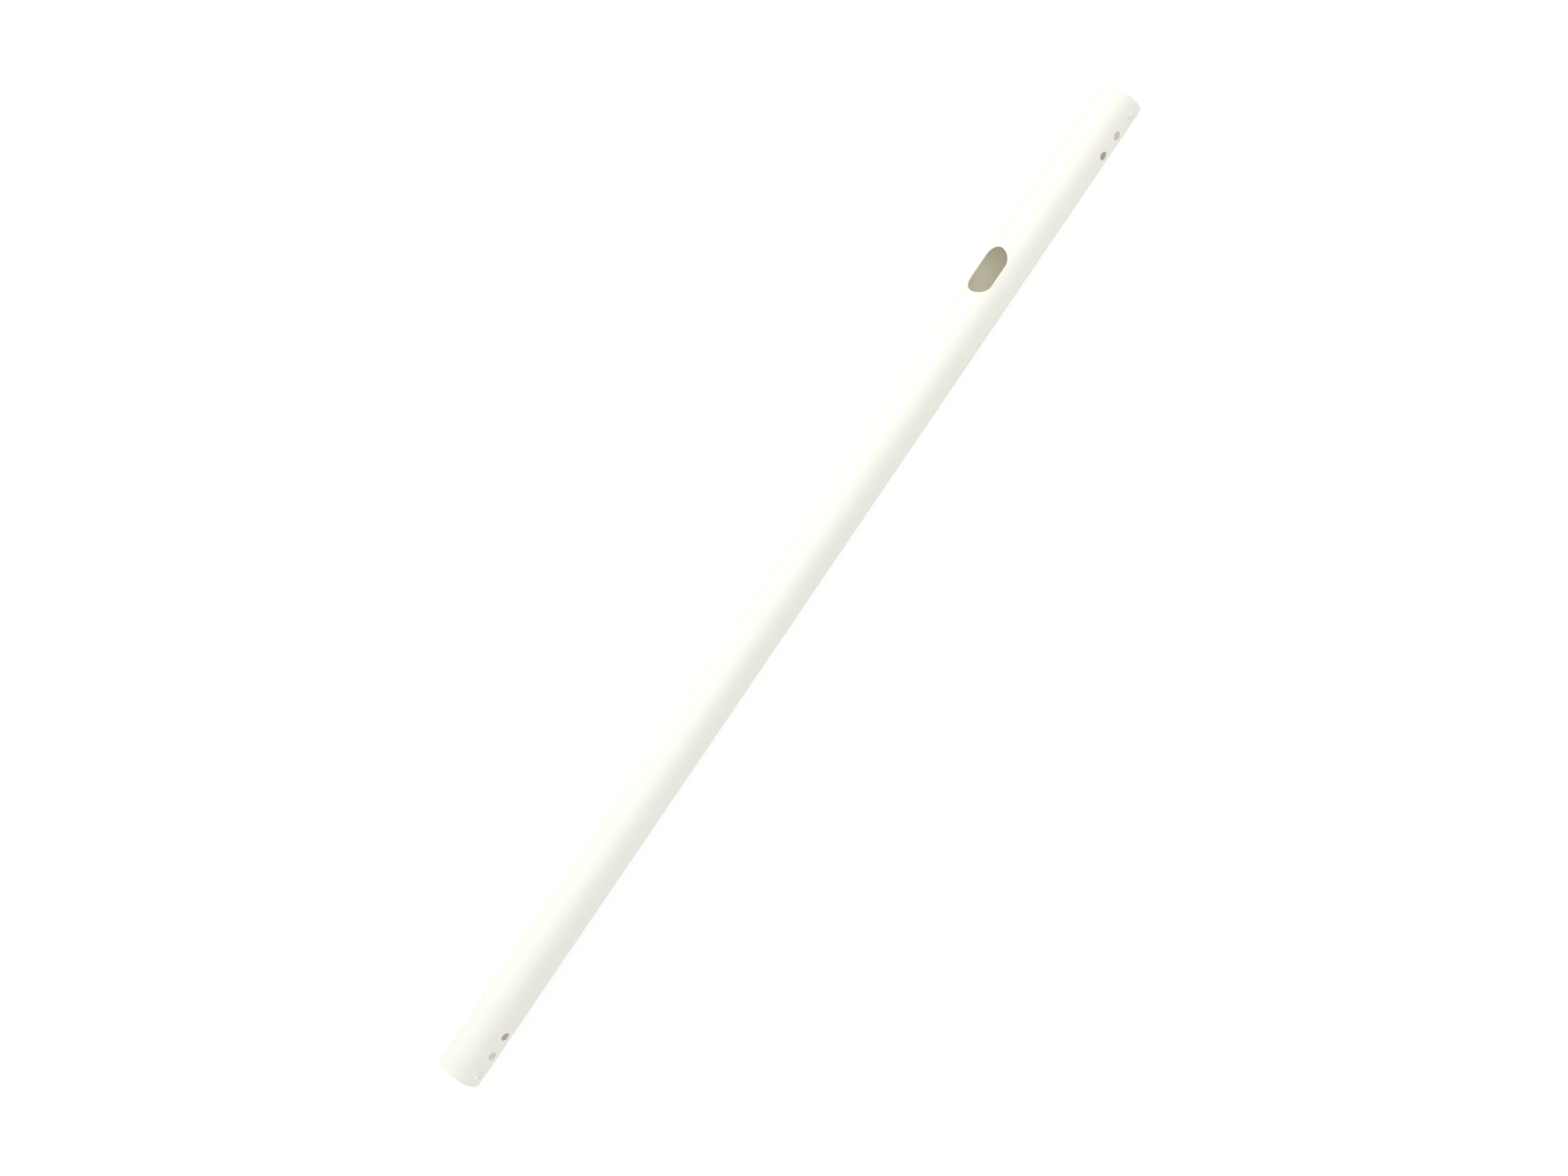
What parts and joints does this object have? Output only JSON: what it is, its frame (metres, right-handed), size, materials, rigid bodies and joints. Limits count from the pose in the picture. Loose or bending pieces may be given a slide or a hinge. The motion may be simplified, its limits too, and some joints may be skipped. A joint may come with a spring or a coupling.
{
  "type": "white cane shaft",
  "caption": "Straight white thin-walled cane tube, open at both ends, with a row of round holes at each end and one oval slot in its side.",
  "frame": {"origin": "centre of the tube's bounding box, on the tube's centre line, half way along it", "axes": "+X along the tube, towards the end nearest the slot; +Z out through the slot; -Y out through the two rows of holes"},
  "size_m": [0.62, 0.025, 0.025],
  "materials": {
    "white_plastic": "satin white, coloured right through"
  },
  "bodies": {
    "root": {"shaft_tube": "white_plastic"}
  },
  "joints": []
}
